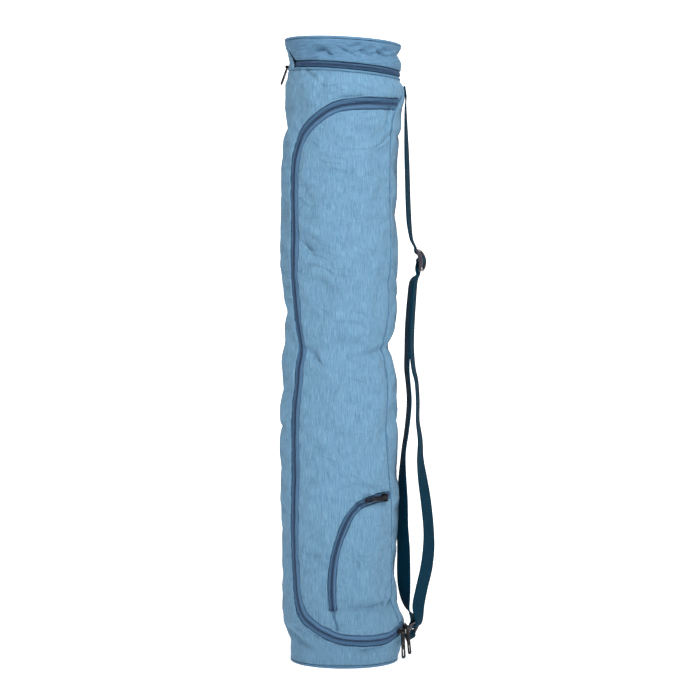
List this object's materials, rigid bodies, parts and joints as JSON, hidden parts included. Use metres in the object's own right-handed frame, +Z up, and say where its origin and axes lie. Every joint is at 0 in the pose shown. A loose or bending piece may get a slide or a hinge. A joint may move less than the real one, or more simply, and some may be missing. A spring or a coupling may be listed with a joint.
{
  "type": "yoga mat bag",
  "caption": "Soft upright cloth bag for a rolled yoga mat, with a zipped lid, a long curved door zip, a small zipped pocket and an adjustable webbing shoulder strap.",
  "frame": {"origin": "centre of the round base, on the ground it stands on", "axes": "+Z up along the bag, -Y towards the front with the door and the pocket, +X towards the shoulder strap"},
  "size_m": [0.1709, 0.1311, 0.6831],
  "materials": {
    "cloth": "woven, streaked light blue, matt",
    "zip_tape": "woven tape, slate blue",
    "zip_coil": "spiral teeth, slate blue",
    "webbing": "woven webbing, dark petrol blue",
    "black_plastic": "moulded, satin black",
    "black_metal": "painted black, satin"
  },
  "bodies": {
    "bag": {"bag_body": "cloth", "front_panel": "cloth", "pocket_panel": "cloth", "side_seam_welt": "cloth", "pocket_seam_welt": "cloth", "main_zip_outer_tape": "zip_tape", "main_zip_inner_tape": "zip_tape", "main_zip_coil": "zip_coil", "pocket_zip_outer_tape": "zip_tape", "pocket_zip_inner_tape": "zip_tape", "pocket_zip_coil": "zip_coil", "lid_zip_lower_tape": "zip_tape", "lid_zip_upper_tape": "zip_tape", "lid_zip_coil": "zip_coil", "collar_welt": "cloth", "lid_band": "cloth", "lid_hinge": "cloth", "lid_piping": "cloth", "base_welt": "cloth", "lid_top": "cloth", "base_panel": "cloth", "main_slider_left": "black_metal", "main_slider_right": "black_metal", "pocket_slider": "black_metal", "lid_slider": "black_metal", "strap_adjuster": "black_plastic", "strap_ring": "black_plastic", "shoulder_strap": "webbing", "ring_tab": "webbing"},
    "left_main_pull": {"main_pull_left": "black_metal"},
    "right_main_pull": {"main_pull_right": "black_metal"},
    "small_pocket_pull": {"pocket_pull": "black_metal"},
    "lid_zip_pull": {"lid_pull": "black_metal"}
  },
  "joints": [
    {"name": "left_main_pull_swing", "type": "hinge", "parent": "bag", "child": "left_main_pull", "pos_m": [0.06333, -0.03127, 0.03602], "axis": [-0.4627, -0.8838, -0.0691], "range_deg": [-8, 150]},
    {"name": "right_main_pull_swing", "type": "hinge", "parent": "bag", "child": "right_main_pull", "pos_m": [0.0686, -0.0183, 0.03901], "axis": [-0.2612, -0.9653, 0], "range_deg": [-12, 150]},
    {"name": "pocket_pull_swing", "type": "hinge", "parent": "bag", "child": "small_pocket_pull", "pos_m": [0.04508, -0.05079, 0.18487], "axis": [-0.0807, -0.0436, 0.9958], "range_deg": [0, 150]},
    {"name": "lid_pull_swing", "type": "hinge", "parent": "bag", "child": "lid_zip_pull", "pos_m": [-0.0632, 0.01949, 0.65455], "axis": [0.2868, 0.958, 0], "range_deg": [-15, 140]}
  ]
}
